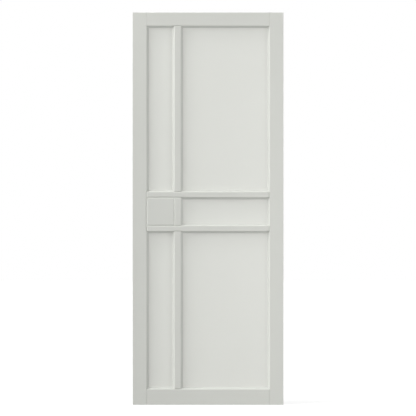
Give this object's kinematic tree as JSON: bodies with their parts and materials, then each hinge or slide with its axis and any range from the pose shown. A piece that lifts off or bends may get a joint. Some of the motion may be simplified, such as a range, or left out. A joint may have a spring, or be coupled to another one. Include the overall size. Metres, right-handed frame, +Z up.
{
  "type": "interior door leaf",
  "caption": "pale painted stile-and-panel interior door leaf with flat recessed panels, bevelled beads, slim bars, an off-centre mullion and a flush lock block",
  "frame": {"origin": "middle of the flat hinge edge: halfway up the leaf and halfway through its thickness, where hinges fasten", "axes": "+Z up along the height, +X out of the hinge edge, across the width, Y through the thickness with the pictured face at -Y"},
  "size_m": [0.762, 0.035, 1.981],
  "materials": {
    "frame_paint": "satin",
    "panel_paint": "satin",
    "bead_paint": "satin"
  },
  "bodies": {
    "root": {"bottom_rail": "frame_paint", "hinge_stile": "frame_paint", "lock_block": "frame_paint", "lock_stile": "frame_paint", "lower_bar": "frame_paint", "lower_mullion": "frame_paint", "lower_narrow_bead_bottom": "bead_paint", "lower_narrow_bead_hinge": "bead_paint", "lower_narrow_bead_lock": "bead_paint", "lower_narrow_bead_top": "bead_paint", "lower_narrow_panel": "panel_paint", "lower_wide_bead_bottom": "bead_paint", "lower_wide_bead_hinge": "bead_paint", "lower_wide_bead_lock": "bead_paint", "lower_wide_bead_top": "bead_paint", "lower_wide_panel": "panel_paint", "middle_mullion": "frame_paint", "middle_wide_bead_bottom": "bead_paint", "middle_wide_bead_hinge": "bead_paint", "middle_wide_bead_lock": "bead_paint", "middle_wide_bead_top": "bead_paint", "middle_wide_panel": "panel_paint", "top_rail": "frame_paint", "upper_bar": "frame_paint", "upper_mullion": "frame_paint", "upper_narrow_bead_bottom": "bead_paint", "upper_narrow_bead_hinge": "bead_paint", "upper_narrow_bead_lock": "bead_paint", "upper_narrow_bead_top": "bead_paint", "upper_narrow_panel": "panel_paint", "upper_wide_bead_bottom": "bead_paint", "upper_wide_bead_hinge": "bead_paint", "upper_wide_bead_lock": "bead_paint", "upper_wide_bead_top": "bead_paint", "upper_wide_panel": "panel_paint"}
  },
  "joints": []
}
